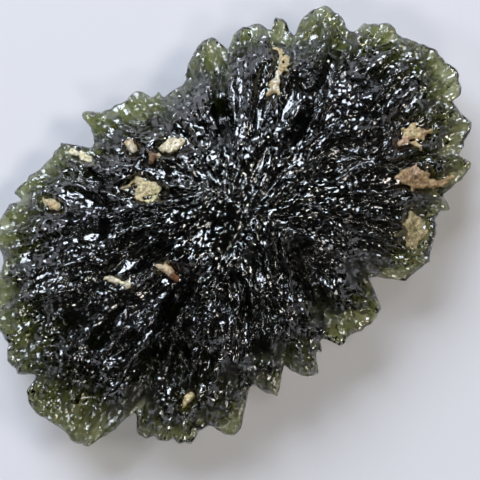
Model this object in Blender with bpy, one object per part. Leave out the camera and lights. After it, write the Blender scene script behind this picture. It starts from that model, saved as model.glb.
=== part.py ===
"""Raw moldavite: a flattened, deeply etched piece of natural glass, with soil left in its pits.

The stone is one closed skin. A top and an underside are two height fields over the same lobed
outline, and they meet at a thin rim. Ridges and gutters fan out over both of them.
All lengths are in millimetres until the meshes are made. The finished stone is centred on its box
in X and Y, its long axis lies along X, and it rests on a small flat land at Z = 0.
"""
import math

import bpy
import numpy as np
from mathutils import Vector
from mathutils.bvhtree import BVHTree

MM = 0.001

# ---- The stone's body, in mm ----
HEIGHT = 9.2
RIM_HEIGHT = 4.2
RIM_RISE = (0.010, -0.065)
RIM_WAVE = 0.55
RIM_WAVE_SIZE = 7.0
LIP_HALF_THICKNESS = 0.55
LIP_ROUNDING = 0.65
BRIM_WIDTH = 4.5
BRIM_POWER = 1.5
DOME_POWER = 1.0
BELLY_POWER = 0.85
BELLY_SAG = 0.94
LEAST_THICKNESS = 0.7
LAND_CENTRE = (-1.5, -0.6)
LAND_RADII = (6.0, 4.0)
LAND_BLEND = 1.6

# Lobe tips, shoulders and notches of the rim in order round the hub: bearing in degrees from
# the long axis, reach from the hub in mm.
RIM = (
    (0.3, 23.0), (2.2, 23.3), (4.3, 23.1), (6.5, 22.1), (14.5, 21.8), (19.5, 20.6), (20.6, 19.2),
    (23.2, 19.2), (24.6, 19.8), (29.0, 20.0), (33.2, 19.5), (35.8, 18.2), (36.3, 16.3),
    (40.0, 17.6), (43.3, 18.0), (43.8, 16.7), (45.6, 17.0), (49.0, 17.0), (56.0, 16.2),
    (58.3, 14.9), (62.7, 15.9), (67.0, 15.7), (76.2, 13.5), (77.2, 12.7), (88.5, 12.3),
    (89.6, 12.9), (93.1, 12.8), (95.8, 14.2), (105.1, 14.7), (112.7, 16.6), (115.0, 16.6),
    (118.1, 15.2), (120.6, 14.9), (122.9, 15.2), (124.6, 17.6), (126.2, 17.6), (135.4, 19.8),
    (140.2, 20.9), (142.7, 20.5), (144.0, 21.4), (149.3, 22.9), (152.1, 22.9), (156.5, 22.3),
    (163.5, 24.2), (169.6, 25.1), (174.9, 25.0), (178.7, 26.0), (180.8, 25.8), (184.0, 24.8),
    (185.3, 26.4), (190.2, 27.0), (199.1, 26.5), (201.7, 26.2), (204.8, 23.7), (205.6, 22.4),
    (207.5, 21.6), (210.1, 23.1), (212.3, 23.3), (218.0, 22.5), (222.2, 22.6), (223.9, 21.2),
    (226.5, 20.5), (231.5, 21.1), (234.3, 20.4), (237.0, 17.0), (238.8, 16.7), (245.0, 17.9),
    (249.4, 15.4), (251.9, 16.3), (256.1, 17.0), (259.3, 16.9), (261.6, 15.3), (263.1, 15.3),
    (265.7, 14.3), (269.7, 16.2), (275.4, 15.8), (283.4, 16.2), (288.2, 16.0), (295.0, 13.8),
    (299.7, 16.7), (307.6, 18.0), (321.2, 18.3), (322.8, 19.4), (327.1, 18.9), (332.1, 21.1),
    (334.8, 21.3), (337.3, 20.9), (343.8, 22.7), (349.4, 21.8), (350.6, 22.8), (354.7, 23.6),
)

# Thin translucent places of the brim: x, y, radius, share of the usual thickness.
THIN_PLACES = (
    (-2.3, 12.6, 3.6, 0.35),
    (-12.4, 13.6, 3.4, 0.45),
    (-18.1, 9.7, 3.2, 0.40),
    (-22.4, 1.6, 3.4, 0.45),
    (-23.2, -6.8, 4.6, 0.30),
    (-20.4, -4.2, 2.2, 0.55),
    (22.0, -2.4, 4.0, 0.35),
    (19.6, -6.6, 3.4, 0.40),
    (9.3, -13.6, 3.0, 0.45),
    (1.9, -14.7, 3.4, 0.40),
    (13.2, 10.9, 3.2, 0.45),
    (17.6, 6.0, 3.0, 0.50),
    (5.6, 11.6, 2.4, 0.45),
)

# Deep furrows between the main ridges: points from the body out to the rim, half width, depth.
FURROWS = (
    (((2.3, -5.0), (1.8, -7.8), (0.4, -12.0)), 1.5, 2.2),
    (((-6.2, -1.4), (-9.6, -3.4), (-14.0, -6.6), (-18.0, -9.0)), 1.3, 1.9),
    (((-9.0, -3.6), (-12.0, -7.4), (-14.2, -10.6)), 1.1, 1.5),
    (((-7.6, 2.4), (-12.4, 2.0), (-16.4, 1.6), (-19.5, 0.8)), 1.1, 1.3),
    (((-5.0, 0.6), (-9.0, 0.9), (-13.0, -0.4), (-18.0, -2.4)), 0.9, 1.1),
    (((-3.5, -4.0), (-5.2, -8.0), (-6.4, -12.4)), 0.9, 1.1),
    (((2.4, 4.4), (4.1, 8.6), (6.0, 11.4), (7.6, 14.0)), 1.4, 2.4),
    (((6.6, 4.2), (9.6, 7.6), (12.4, 10.4), (14.6, 12.2)), 0.9, 1.2),
    (((6.0, 1.4), (11.0, 3.6), (16.0, 6.0)), 0.8, 1.0),
    (((6.0, -1.6), (12.0, -2.2), (18.6, -3.2)), 0.9, 1.1),
    (((7.0, -3.4), (11.8, -4.8), (16.6, -6.4), (20.0, -7.8)), 0.8, 1.0),
    (((5.4, -5.0), (8.2, -8.2), (10.0, -11.0)), 0.8, 1.0),
    (((-4.2, 3.8), (-8.4, 8.2), (-11.2, 11.4)), 0.8, 1.0),
    (((-6.0, 3.2), (-11.6, 5.8), (-17.0, 7.8)), 0.8, 0.9),
    (((-0.6, 5.6), (-1.2, 9.0), (-1.0, 11.4)), 0.8, 0.9),
)

# Rounded lumps on the upper face: x, y, radius, height.
LUMPS = (
    (-8.2, -7.4, 1.9, 0.7),
    (-10.4, -6.4, 1.3, 0.5),
    (-4.6, -11.2, 1.9, 0.8),
    (-3.9, -14.6, 1.7, 0.9),
    (-17.7, 4.0, 1.1, 0.6),
    (15.4, 1.0, 1.4, 0.4),
)

# ---- Ridges and gutters, in mm ----
GUTTER_WIDTH = 2.3
GUTTER_LENGTH = 6.4
GUTTER_DEPTH = 0.95
GUTTER_VARIATION = 0.35
GUTTER_VARIATION_SIZE = 4.0
CALM_SHARE = 0.75
CALM_RADIUS = 5.0
BELLY_GUTTER_WIDTH = 2.6
BELLY_GUTTER_LENGTH = 6.0
BELLY_GUTTER_DEPTH = 0.9
CREST_SPREAD = (0.06, 0.80)
CELL_JITTER = 0.8
FLOW_BEND = 0.9
FLOW_BEND_SIZE = 6.5
RELIEF_SHARE = 0.42
FURROW_SHARE = 0.75
FURROW_POWER = 1.3
LUMP_POWER = 0.3
# The short line from which the ridges fan out, across the stone's long axis.
SPINE_START = (1.8, -4.8)
SPINE_END = (-1.5, 4.2)

# ---- Soil in the pits: points with half widths along each remnant, in mm ----
CLAY = {
    "clay_strip": ((11.2, 9.8, 0.3), (11.4, 9.2, 0.4), (11.2, 8.5, 0.46), (10.7, 7.9, 0.42),
                   (9.7, 7.4, 0.36), (8.8, 6.8, 0.5)),
    "clay_nugget": ((-7.9, 7.5, 0.25), (-7.2, 7.1, 0.4), (-6.4, 6.4, 0.9), (-5.8, 5.9, 0.95),
                    (-5.2, 5.5, 0.55)),
    "clay_cream_patch": ((-4.1, 8.1, 0.3), (-3.3, 8.1, 0.3), (-2.2, 8.0, 0.65),
                         (-1.3, 7.8, 0.65)),
    "clay_pink_crumb": ((-4.85, 10.7, 0.4), (-4.9, 9.8, 0.46)),
    "clay_west_crumb": ((-14.4, 10.9, 0.3), (-14.0, 10.3, 0.5), (-13.6, 9.6, 0.35)),
    "clay_rim_streak": ((-9.7, 13.3, 0.25), (-9.2, 12.5, 0.3), (-8.7, 11.7, 0.3)),
    "clay_star": ((15.2, -4.1, 0.45), (16.3, -4.0, 0.85), (17.3, -4.5, 0.5), (18.0, -4.7, 0.3)),
    "clay_long_patch": ((12.9, -6.4, 0.35), (14.2, -7.1, 1.05), (15.1, -8.3, 0.8),
                        (16.2, -9.1, 0.45), (17.2, -9.35, 0.3)),
    "clay_broad_patch": ((12.0, -9.9, 0.5), (11.7, -10.8, 1.05), (11.2, -11.6, 1.05),
                         (10.7, -12.5, 0.5)),
    "clay_rust_crumb": ((-9.0, -0.3, 0.35), (-8.7, -1.2, 0.5), (-8.5, -2.1, 0.35)),
    "clay_sliver": ((-13.7, 1.8, 0.25), (-13.0, 0.8, 0.28), (-12.4, 0.0, 0.22)),
    "clay_south_crumb": ((-14.9, -11.8, 0.3), (-14.3, -11.6, 0.4), (-13.8, -11.4, 0.3)),
}
CLAY_THICKNESS = 0.45
CLAY_GAP = 0.22
CLAY_BLUNT = 0.45
CLAY_SIDES = 5
CLAY_STEP = 0.7
CLAY_TIP_WIDTH = 0.02
CLAY_TIP_SHARE = 0.3
CLAY_CROWN = 0.7
PIT_DEPTH = 0.45
PIT_MARGIN = 0.6
PIT_FADE = 2.0

# ---- Facet sizes, in mm ----
TOP_FACET = 0.75
BELLY_FACET = 1.0
FIRST_RING = 0.35
LEAST_RING_POINTS = 6

# ---- Surface colours and finish ----
GLASS_COLOR = (0.035, 0.045, 0.018, 1.0)
GLASS_ROUGHNESS = 0.15
CLAY_COLOR = (0.52, 0.38, 0.22, 1.0)
CLAY_ROUGHNESS = 0.9


# ---- Small tools on arrays ----
def smooth_step(low, high, value):
    t = np.clip((value - low) / (high - low), 0.0, 1.0)
    return t * t * (3.0 - 2.0 * t)


def scatter(i, j, seed):
    """A repeatable number from 0 to 1 for each whole-number place."""
    value = np.sin(i * 127.1 + j * 311.7 + seed * 74.7) * 43758.5453
    return value - np.floor(value)


def noise(x, y, size, seed):
    """Smooth noise from -1 to 1 with features of about the given size."""
    u, v = x / size, y / size
    i, j = np.floor(u), np.floor(v)
    fu, fv = u - i, v - j
    fu, fv = fu * fu * (3 - 2 * fu), fv * fv * (3 - 2 * fv)
    near = scatter(i, j, seed) * (1 - fu) + scatter(i + 1, j, seed) * fu
    far = scatter(i, j + 1, seed) * (1 - fu) + scatter(i + 1, j + 1, seed) * fu
    return 2.0 * (near * (1 - fv) + far * fv) - 1.0


def distance_to_path(x, y, path, closed=False):
    """Distance from each point to a line through the path's points, and where along it (0 to 1)."""
    path = np.asarray(path, float)
    ends = np.roll(path, -1, axis=0) if closed else path[1:]
    starts = path if closed else path[:-1]
    best = np.full(x.shape, 1e9)
    where = np.zeros(x.shape)
    for k, (a, b) in enumerate(zip(starts, ends)):
        run = b[:2] - a[:2]
        t = ((x - a[0]) * run[0] + (y - a[1]) * run[1]) / (run @ run)
        t = np.clip(t, 0.0, 1.0)
        d = np.hypot(x - a[0] - t * run[0], y - a[1] - t * run[1])
        closer = d < best
        best = np.where(closer, d, best)
        where = np.where(closer, (k + t) / len(starts), where)
    return best, where


# ---- The outline ----
def rim_points():
    bearing, reach = np.radians([p[0] for p in RIM]), np.array([p[1] for p in RIM])
    return np.stack([reach * np.cos(bearing), reach * np.sin(bearing)], axis=1)


RIM_XY = rim_points()
RIM_LENGTH = np.concatenate([[0.0], np.cumsum(np.linalg.norm(
    np.roll(RIM_XY, -1, axis=0) - RIM_XY, axis=1))])


def rim_at(share):
    """Point of the rim at a share of the way round it."""
    loop = np.vstack([RIM_XY, RIM_XY[:1]])
    along = (share % 1.0) * RIM_LENGTH[-1]
    return np.interp(along, RIM_LENGTH, loop[:, 0]), np.interp(along, RIM_LENGTH, loop[:, 1])


def broad_reach(bearing):
    """Reach of the rim with its lobes smoothed away, which shapes the dome."""
    grid = np.radians(np.arange(0.0, 360.0, 2.0))
    rim_bearing = np.radians([p[0] for p in RIM])
    reach = np.interp(grid, rim_bearing, [p[1] for p in RIM], period=2 * np.pi)
    window = np.hanning(17)
    window /= window.sum()
    half = len(window) // 2
    soft = np.convolve(np.concatenate([reach[-half:], reach, reach[:half]]), window, "valid")
    return np.interp(bearing, grid, soft, period=2 * np.pi)


# ---- Relief ----
def around_spine(x, y):
    """Distance from the spine, share of the way round it, and the length of a loop round it."""
    run_x, run_y = SPINE_END[0] - SPINE_START[0], SPINE_END[1] - SPINE_START[1]
    spine = math.hypot(run_x, run_y)
    run_x, run_y = run_x / spine, run_y / spine
    from_x, from_y = x - SPINE_START[0], y - SPINE_START[1]
    t = np.clip(from_x * run_x + from_y * run_y, 0.0, spine)
    ahead = from_x * run_x + from_y * run_y - t
    aside = run_x * from_y - run_y * from_x
    r = np.hypot(ahead, aside)
    turn = np.arctan2(aside, ahead)
    left = r * turn + spine - t
    right = r * (turn + 2 * np.pi) + spine + t
    loop = 2 * np.pi * r + 2 * spine
    return r, np.where(aside >= 0.0, left, right) / loop % 1.0, loop


def gutters(x, y, width, length, seed):
    """Bowls drawn out away from the spine: 0 on a floor, 1 on the crests between them."""
    bent_x = x + FLOW_BEND * noise(x, y, FLOW_BEND_SIZE, seed + 5)
    bent_y = y + FLOW_BEND * noise(x, y, FLOW_BEND_SIZE, seed + 9)
    r, way, loop = around_spine(bent_x, bent_y)
    first_loop = loop - 2 * np.pi * r
    nearest = np.full(x.shape, 1e9)
    second = np.full(x.shape, 1e9)
    for band_step in (-1, 0, 1):
        band = np.floor(r / length) + band_step
        around = np.round((first_loop + 2 * np.pi * (np.abs(band) + 0.5) * length) / width)
        place = way * around
        for cell_step in (-2, -1, 0, 1, 2):
            cell = np.floor(place) + cell_step
            name = cell % around
            off_band = CELL_JITTER * (scatter(band, name, seed) - 0.5)
            off_cell = CELL_JITTER * (scatter(band, name, seed + 3) - 0.5)
            out = r / length - (band + 0.5 + off_band)
            side = (place - (cell + 0.5 + off_cell)) * loop / around / width
            away = np.hypot(out, side)
            second = np.minimum(second, np.maximum(nearest, away))
            nearest = np.minimum(nearest, away)
    return 1.0 - smooth_step(*CREST_SPREAD, second - nearest)


def furrow_cut(x, y):
    cut = np.zeros(x.shape)
    for path, half_width, depth in FURROWS:
        d, along = distance_to_path(x, y, path)
        fade = smooth_step(0.0, 0.25, along)
        near = np.clip(1.0 - d / half_width, 0.0, 1.0)
        cut = np.maximum(cut, depth * fade * near ** FURROW_POWER)
    return cut


def lump_rise(x, y):
    rise = np.zeros(x.shape)
    for cx, cy, radius, height in LUMPS:
        d = np.hypot(x - cx, y - cy) / radius
        rise = np.maximum(rise, height * np.sqrt(np.clip(1.0 - d * d, 0.0, 1.0)))
    return rise


def pit_share(x, y):
    """1 inside the pits that hold soil, falling to 0 just outside them."""
    share = np.zeros(x.shape)
    for path in CLAY.values():
        d, along = distance_to_path(x, y, path)
        half = np.interp(along, np.linspace(0, 1, len(path)), [p[2] for p in path])
        share = np.maximum(share, 1.0 - smooth_step(0.0, PIT_MARGIN, d - half))
    return share


# ---- The two faces of the stone ----
def brim(x, y, edge):
    """Share of the full thickness that the brim has at this distance from the rim."""
    thin = np.ones(x.shape)
    for cx, cy, radius, share in THIN_PLACES:
        fade = 1.0 - smooth_step(0.3, 1.0, np.hypot(x - cx, y - cy) / radius)
        thin = np.minimum(thin, 1.0 - (1.0 - share) * fade)
    t = np.clip(edge / BRIM_WIDTH, 0.0, 1.0)
    return (1.0 - (1.0 - t) ** BRIM_POWER) * thin


def middle_height(x, y):
    """Height of the surface that the rim lies on."""
    lean = RIM_RISE[0] * x + RIM_RISE[1] * y
    return RIM_HEIGHT + lean + RIM_WAVE * noise(x, y, RIM_WAVE_SIZE, 21)


def lip(edge):
    t = np.clip(edge / LIP_ROUNDING, 0.0, 1.0)
    return LIP_HALF_THICKNESS * np.sqrt(1.0 - (1.0 - t) ** 2)


def stone_faces(x, y):
    """Heights of the upper face and of the underside above the points x, y."""
    edge, _ = distance_to_path(x, y, RIM_XY, closed=True)
    span = np.clip(np.hypot(x, y) / broad_reach(np.arctan2(y, x)), 0.0, 1.0)
    middle = middle_height(x, y)
    share = brim(x, y, edge)
    rise = (HEIGHT - middle) * (1.0 - span ** 2) ** DOME_POWER * share
    sag = middle * BELLY_SAG * (1.0 - span ** 2) ** BELLY_POWER * share
    room = lip(edge) + RELIEF_SHARE * (rise + sag)

    crest = gutters(x, y, GUTTER_WIDTH, GUTTER_LENGTH, 1) - 0.5
    strength = 1.0 + GUTTER_VARIATION * noise(x, y, GUTTER_VARIATION_SIZE, 31)
    calm = CALM_SHARE + (1.0 - CALM_SHARE) * smooth_step(0.0, CALM_RADIUS, np.hypot(x, y))
    relief = np.minimum(GUTTER_DEPTH * strength * calm, room) * crest
    cut = np.minimum(furrow_cut(x, y), FURROW_SHARE * (rise + lip(edge)))
    pit = pit_share(x, y)
    top = middle + lip(edge) + rise + lump_rise(x, y) * share ** LUMP_POWER
    top += (relief - cut) * (1.0 - pit) - PIT_DEPTH * pit * smooth_step(0.0, PIT_FADE, edge)

    under_crest = gutters(x, y, BELLY_GUTTER_WIDTH, BELLY_GUTTER_LENGTH, 2) - 0.5
    off_land = smooth_step(0.0, LAND_BLEND, land_distance(x, y))
    under_relief = np.minimum(BELLY_GUTTER_DEPTH, room) * under_crest * off_land
    under = middle - lip(edge) - sag - under_relief
    under = np.minimum(under, top - np.minimum(LEAST_THICKNESS, 2.0 * lip(edge)))
    return top, np.maximum(under, 0.0)


def land_distance(x, y):
    """Rough distance outside the flat land that the stone rests on, 0 on the land."""
    long, short = LAND_RADII
    out = np.hypot((x - LAND_CENTRE[0]) / long, (y - LAND_CENTRE[1]) / short) - 1.0
    return np.clip(out, 0.0, None) * short


# ---- Meshing ----
def ring_shares(facet):
    """Scales of the outline's rings, from just off the hub to just inside the rim."""
    broad = float(np.mean([p[1] for p in RIM]))
    rings = int(round((broad - FIRST_RING) / facet))
    return [(k + 0.5) / rings * (1.0 - FIRST_RING / broad) for k in range(rings)] + \
        [1.0 - FIRST_RING / broad]


def ring(scale, facet, shift):
    """Points of one ring: the outline, scaled about the hub."""
    count = max(LEAST_RING_POINTS, int(round(RIM_LENGTH[-1] * scale / facet)))
    shares = (np.arange(count) + shift) / count
    x, y = rim_at(shares)
    return x * scale, y * scale, shares


def stitch(inner, inner_shares, outer, outer_shares):
    """Triangles between two rings of point numbers, anticlockwise from above."""
    faces = []
    i = j = 0
    while i < len(inner) or j < len(outer):
        next_inner = inner_shares[i + 1] if i + 1 < len(inner) else inner_shares[0] + 1.0
        next_outer = outer_shares[j + 1] if j + 1 < len(outer) else outer_shares[0] + 1.0
        a, b = inner[i % len(inner)], outer[j % len(outer)]
        if j < len(outer) and (next_outer <= next_inner or i >= len(inner)):
            faces.append((a, b, outer[(j + 1) % len(outer)]))
            j += 1
        else:
            faces.append((a, b, inner[(i + 1) % len(inner)]))
            i += 1
    return faces


def face_sheet(facet, rim_numbers, rim_shares, first_number, upper):
    """Points and triangles of one face, from the hub out to the shared rim."""
    points = [(0.0, 0.0)]
    faces = []
    last, last_shares = None, None
    for k, scale in enumerate(ring_shares(facet)):
        x, y, shares = ring(scale, facet, 0.5 * (k % 2))
        numbers = [first_number + len(points) + n for n in range(len(x))]
        points.extend(zip(x, y))
        if last is None:
            hub = first_number
            faces += [(hub, numbers[n], numbers[(n + 1) % len(numbers)])
                      for n in range(len(numbers))]
        else:
            faces += stitch(last, last_shares, numbers, shares)
        last, last_shares = numbers, shares
    faces += stitch(last, last_shares, rim_numbers, rim_shares)
    if not upper:
        faces = [f[::-1] for f in faces]
    return points, faces


def stone_mesh():
    """Points (x, y, z) in mm about the hub, and triangles, of the whole stone."""
    x, y, rim_shares = ring(1.0, TOP_FACET, 0.0)
    rim_numbers = list(range(len(x)))
    points = list(zip(x, y))
    heights = list(middle_height(x, y))
    faces = []
    for upper, facet in ((True, TOP_FACET), (False, BELLY_FACET)):
        sheet, sheet_faces = face_sheet(facet, rim_numbers, rim_shares, len(points), upper)
        sx, sy = np.array(sheet).T
        heights += list(stone_faces(sx, sy)[0 if upper else 1])
        points += sheet
        faces += sheet_faces
    return np.column_stack([points, heights]), faces


# ---- Soil remnants ----
def clay_mesh(path, stone):
    """A flattened bead along the path, lying just clear of the stone's facets."""
    path = np.asarray(path)
    start = path[0, :2] - (path[1, :2] - path[0, :2]) * CLAY_BLUNT * 0.5
    end = path[-1, :2] + (path[-1, :2] - path[-2, :2]) * CLAY_BLUNT * 0.5
    line = np.vstack([np.append(start, CLAY_TIP_WIDTH), path, np.append(end, CLAY_TIP_WIDTH)])
    length = np.concatenate([[0], np.cumsum(np.linalg.norm(np.diff(line[:, :2], axis=0), axis=1))])
    stations = max(4, int(round(length[-1] / CLAY_STEP)))
    along = np.linspace(0.0, length[-1], stations + 1)
    spine = np.stack([np.interp(along, length, line[:, k]) for k in range(3)], axis=1)
    points, faces = [], []

    def floor_at(px, py):
        hit = stone.ray_cast(Vector((px, py, 2 * HEIGHT)), Vector((0, 0, -1)))[0]
        return hit.z + CLAY_GAP

    for k in range(1, stations):
        before, after = spine[k - 1, :2], spine[k + 1, :2]
        forward = (after - before) / np.linalg.norm(after - before)
        across = np.array([-forward[1], forward[0]])
        for side in np.linspace(-1.0, 1.0, CLAY_SIDES):
            px, py = spine[k, :2] + across * side * spine[k, 2]
            points.append((px, py, floor_at(px, py)))
        for side in np.linspace(1.0, -1.0, CLAY_SIDES)[1:-1]:
            px, py = spine[k, :2] + across * side * spine[k, 2]
            thick = CLAY_THICKNESS * math.sqrt(1.0 - CLAY_CROWN * side * side)
            points.append((px, py, floor_at(px, py) + thick))
    girth = 2 * CLAY_SIDES - 2
    for k in range(stations - 2):
        for n in range(girth):
            m = (n + 1) % girth
            a, b = k * girth, (k + 1) * girth
            faces += [(a + n, b + m, b + n), (a + n, a + m, b + m)]
    first, last = len(points), len(points) + 1
    for tip in (0, -1):
        px, py = spine[tip, :2]
        points.append((px, py, floor_at(px, py) + CLAY_THICKNESS * CLAY_TIP_SHARE))
    end_ring = (stations - 2) * girth
    faces += [(first, (n + 1) % girth, n) for n in range(girth)]
    faces += [(last, end_ring + n, end_ring + (n + 1) % girth) for n in range(girth)]
    return np.array(points), faces


# ---- Blender objects ----
def material(name, color, roughness):
    made = bpy.data.materials.new(name)
    made.use_nodes = True
    shader = made.node_tree.nodes["Principled BSDF"]
    shader.inputs["Base Color"].default_value = color
    shader.inputs["Roughness"].default_value = roughness
    return made


def add_object(name, points, faces, surface):
    mesh = bpy.data.meshes.new(name)
    mesh.from_pydata((points * MM).tolist(), [], [tuple(int(n) for n in f) for f in faces])
    mesh.update()
    mesh.materials.append(surface)
    made = bpy.data.objects.new(name, mesh)
    bpy.context.scene.collection.objects.link(made)
    return made


def clear_scene():
    for old in list(bpy.data.objects):
        bpy.data.objects.remove(old)


def main():
    clear_scene()
    glass = material("moldavite_glass", GLASS_COLOR, GLASS_ROUGHNESS)
    soil = material("dry_clay", CLAY_COLOR, CLAY_ROUGHNESS)
    points, faces = stone_mesh()
    centre = (points.min(axis=0) + points.max(axis=0)) / 2.0
    centre[2] = 0.0
    tree = BVHTree.FromPolygons([tuple(p) for p in points.tolist()], faces)
    add_object("moldavite", points - centre, faces, glass)
    for name, path in CLAY.items():
        clay_points, clay_faces = clay_mesh(path, tree)
        add_object(name, clay_points - centre, clay_faces, soil)


main()
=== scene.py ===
"""Looks of a raw moldavite: its etched glass skin, the dry clay in its pits, and a plain studio.

The stone and the clay are built by numpy height fields over the same lobed outline as the frame's
solids, in millimetres about a hub in the middle of the ridges' fan. Run as a script in Blender.
"""
import math

import bpy
import numpy as np
from bpy.props import FloatProperty, FloatVectorProperty, PointerProperty
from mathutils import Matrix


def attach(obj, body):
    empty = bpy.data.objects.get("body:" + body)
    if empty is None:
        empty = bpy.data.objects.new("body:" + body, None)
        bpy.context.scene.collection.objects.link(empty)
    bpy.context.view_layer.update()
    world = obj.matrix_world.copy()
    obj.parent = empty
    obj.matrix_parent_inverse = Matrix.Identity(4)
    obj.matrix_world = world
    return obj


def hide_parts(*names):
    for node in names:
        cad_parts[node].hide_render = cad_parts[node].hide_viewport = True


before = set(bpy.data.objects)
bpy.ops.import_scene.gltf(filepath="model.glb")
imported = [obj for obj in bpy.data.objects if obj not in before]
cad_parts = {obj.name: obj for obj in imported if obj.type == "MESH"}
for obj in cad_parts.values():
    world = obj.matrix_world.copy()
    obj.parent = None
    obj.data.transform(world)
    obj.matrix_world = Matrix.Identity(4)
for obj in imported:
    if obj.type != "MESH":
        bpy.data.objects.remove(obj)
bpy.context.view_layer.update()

bl_info = {
    "name": "Raw Moldavite",
    "version": (1, 0, 0),
    "blender": (4, 5, 0),
    "location": "View3D > Sidebar > Moldavite",
    "description": "Builds an etched moldavite with clay in its pits on a plain studio floor",
    "category": "Object",
}

MM = 0.001
FAR = 1e9
BODY = "root"
STONE = "moldavite"

# Lobe tips, shoulders and notches of the rim in order round the hub: bearing in degrees from
# the long axis, reach from the hub in mm.
RIM = (
    (0.3, 23.0), (2.2, 23.3), (4.3, 23.1), (6.5, 22.1), (14.5, 21.8), (19.5, 20.6), (20.6, 19.2),
    (23.2, 19.2), (24.6, 19.8), (29.0, 20.0), (33.2, 19.5), (35.8, 18.2), (36.3, 16.3),
    (40.0, 17.6), (43.3, 18.0), (43.8, 16.7), (45.6, 17.0), (49.0, 17.0), (56.0, 16.2),
    (58.3, 14.9), (62.7, 15.9), (67.0, 15.7), (76.2, 13.5), (77.2, 12.7), (88.5, 12.3),
    (89.6, 12.9), (93.1, 12.8), (95.8, 14.2), (105.1, 14.7), (112.7, 16.6), (115.0, 16.6),
    (118.1, 15.2), (120.6, 14.9), (122.9, 15.2), (124.6, 17.6), (126.2, 17.6), (135.4, 19.8),
    (140.2, 20.9), (142.7, 20.5), (144.0, 21.4), (149.3, 22.9), (152.1, 22.9), (156.5, 22.3),
    (163.5, 24.2), (169.6, 25.1), (174.9, 25.0), (178.7, 26.0), (180.8, 25.8), (184.0, 24.8),
    (185.3, 26.4), (190.2, 27.0), (199.1, 26.5), (201.7, 26.2), (204.8, 23.7), (205.6, 22.4),
    (207.5, 21.6), (210.1, 23.1), (212.3, 23.3), (218.0, 22.5), (222.2, 22.6), (223.9, 21.2),
    (226.5, 20.5), (231.5, 21.1), (234.3, 20.4), (237.0, 17.0), (238.8, 16.7), (245.0, 17.9),
    (249.4, 15.4), (251.9, 16.3), (256.1, 17.0), (259.3, 16.9), (261.6, 15.3), (263.1, 15.3),
    (265.7, 14.3), (269.7, 16.2), (275.4, 15.8), (283.4, 16.2), (288.2, 16.0), (295.0, 13.8),
    (299.7, 16.7), (307.6, 18.0), (321.2, 18.3), (322.8, 19.4), (327.1, 18.9), (332.1, 21.1),
    (334.8, 21.3), (337.3, 20.9), (343.8, 22.7), (349.4, 21.8), (350.6, 22.8), (354.7, 23.6),
)

# Thin translucent places of the brim: x, y, radius, share of the usual thickness.
THIN_PLACES = (
    (-2.3, 12.6, 3.6, 0.25),
    (-12.4, 13.6, 3.4, 0.45),
    (-18.1, 9.7, 3.2, 0.60),
    (-22.4, 1.6, 3.4, 0.45),
    (-23.2, -6.8, 4.6, 0.30),
    (-20.4, -4.2, 2.2, 0.55),
    (22.0, -2.4, 4.0, 0.28),
    (19.6, -6.6, 3.4, 0.40),
    (9.3, -13.6, 3.0, 0.45),
    (1.9, -14.7, 3.6, 0.25),
    (13.2, 10.9, 3.2, 0.45),
    (17.6, 6.0, 3.0, 0.50),
    (5.6, 11.6, 1.8, 0.75),
)

# Deep furrows between the main ridges: points from the body out to the rim, half width, depth.
FURROWS = (
    (((2.3, -5.0), (1.8, -7.8), (0.4, -12.0)), 1.5, 2.2),
    (((-6.2, -1.4), (-9.6, -3.4), (-14.0, -6.6), (-18.0, -9.0)), 1.3, 1.9),
    (((-9.0, -3.6), (-12.0, -7.4), (-14.2, -10.6)), 1.1, 1.5),
    (((-7.6, 2.4), (-12.4, 2.0), (-16.4, 1.6), (-19.5, 0.8)), 1.1, 1.3),
    (((-5.0, 0.6), (-9.0, 0.9), (-13.0, -0.4), (-18.0, -2.4)), 0.9, 1.1),
    (((-3.5, -4.0), (-5.2, -8.0), (-6.4, -12.4)), 0.9, 1.1),
    (((2.4, 4.4), (4.1, 8.6), (6.0, 11.4), (7.6, 14.0)), 1.4, 2.4),
    (((6.6, 4.2), (9.6, 7.6), (12.4, 10.4), (14.6, 12.2)), 0.9, 1.2),
    (((6.0, 1.4), (11.0, 3.6), (16.0, 6.0)), 0.8, 1.0),
    (((6.0, -1.6), (12.0, -2.2), (18.6, -3.2)), 0.9, 1.1),
    (((7.0, -3.4), (11.8, -4.8), (16.6, -6.4), (20.0, -7.8)), 0.8, 1.0),
    (((5.4, -5.0), (8.2, -8.2), (10.0, -11.0)), 0.8, 1.0),
    (((-4.2, 3.8), (-8.4, 8.2), (-11.2, 11.4)), 0.8, 1.0),
    (((-6.0, 3.2), (-11.6, 5.8), (-17.0, 7.8)), 0.8, 0.9),
    (((-0.6, 5.6), (-1.2, 9.0), (-1.0, 11.4)), 0.8, 0.9),
)

# Rounded lumps on the upper face: x, y, radius, height.
LUMPS = (
    (-8.2, -7.4, 1.9, 0.7),
    (-10.4, -6.4, 1.3, 0.5),
    (-4.6, -11.2, 1.9, 0.8),
    (-3.9, -14.6, 1.7, 0.9),
    (-17.7, 4.0, 1.1, 0.6),
    (15.4, 1.0, 1.4, 0.4),
)

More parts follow.
